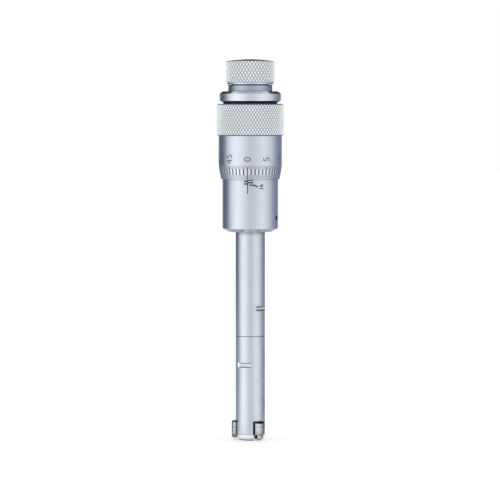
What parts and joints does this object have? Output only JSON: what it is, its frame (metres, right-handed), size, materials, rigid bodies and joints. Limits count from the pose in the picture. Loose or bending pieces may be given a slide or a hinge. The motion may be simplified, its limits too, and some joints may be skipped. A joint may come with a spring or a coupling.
{
  "type": "inside micrometer",
  "caption": "Three-point inside micrometer: a screw and cone push radial anvils out to measure a bore, read on a graduated sleeve and thimble, turned by a ratchet knob.",
  "frame": {"origin": "centre of the head's end face, at the bottom", "axes": "+Z along the micrometer's axis from the anvils to the ratchet knob; -Y faces the viewer with the zero line near the front; +X to the viewer's right"},
  "size_m": [0.0268, 0.0268, 0.1523],
  "materials": {
    "satin_chrome": "satin chrome plate",
    "ground_steel": "hardened and ground",
    "dark_steel": "blackened",
    "spring_steel": "drawn wire",
    "brass": "turned",
    "black_rubber": "matte black"
  },
  "bodies": {
    "head": {"head_body": "satin_chrome", "end_cap": "satin_chrome", "cap_screws": "dark_steel", "cone_bush": "brass", "anvil_spring_a": "spring_steel", "anvil_spring_b": "spring_steel", "anvil_spring_c": "spring_steel", "return_spring": "spring_steel", "upper_tube": "satin_chrome", "rod_bush_lower": "brass", "rod_bush_upper": "brass", "barrel": "ground_steel", "adjusting_nut": "dark_steel", "sleeve": "satin_chrome"},
    "plunger": {"measuring_cone": "ground_steel", "spring_collar": "dark_steel", "push_rod": "ground_steel", "thrust_ball": "ground_steel"},
    "thimble": {"spindle": "ground_steel", "thimble": "satin_chrome", "thimble_washer": "black_rubber", "thimble_collar": "satin_chrome", "ratchet_base": "satin_chrome", "ratchet_screw": "dark_steel"},
    "knob": {"ratchet_knob": "satin_chrome", "ratchet_clutch": "dark_steel", "ratchet_spring": "spring_steel", "knob_cap": "satin_chrome"},
    "anvil_a": {"anvil_a": "ground_steel"},
    "anvil_b": {"anvil_b": "ground_steel"},
    "anvil_c": {"anvil_c": "ground_steel"}
  },
  "joints": [
    {"name": "plunger_slide", "type": "slide", "parent": "head", "child": "plunger", "axis": [0, 0, -1], "range_m": [-0.006, 0.002], "deforming": ["return_spring"]},
    {"name": "thimble_turn", "type": "hinge", "parent": "plunger", "child": "thimble", "pos_m": [0, 0, 0.12], "axis": [0, 0, -1], "range_deg": [-4320, 1440]},
    {"name": "ratchet_slip", "type": "hinge", "parent": "thimble", "child": "knob", "pos_m": [0, 0, 0.147], "axis": [0, 0, -1], "continuous": true},
    {"name": "anvil_a_slide", "type": "slide", "parent": "head", "child": "anvil_a", "axis": [0.5446, -0.8387, 0], "range_m": [-0.0015, 0.0005], "deforming": ["anvil_spring_a"]},
    {"name": "anvil_b_slide", "type": "slide", "parent": "head", "child": "anvil_b", "axis": [-0.9986, -0.0523, 0], "range_m": [-0.0015, 0.0005], "deforming": ["anvil_spring_b"]},
    {"name": "anvil_c_slide", "type": "slide", "parent": "head", "child": "anvil_c", "axis": [0.454, 0.891, 0], "range_m": [-0.0015, 0.0005], "deforming": ["anvil_spring_c"]}
  ],
  "couplings": [
    {"joint": "thimble_turn", "follows": "plunger_slide", "rad_per_m": 12566},
    {"joint": "anvil_a_slide", "follows": "plunger_slide", "ratio": 0.25},
    {"joint": "anvil_b_slide", "follows": "plunger_slide", "ratio": 0.25},
    {"joint": "anvil_c_slide", "follows": "plunger_slide", "ratio": 0.25}
  ]
}
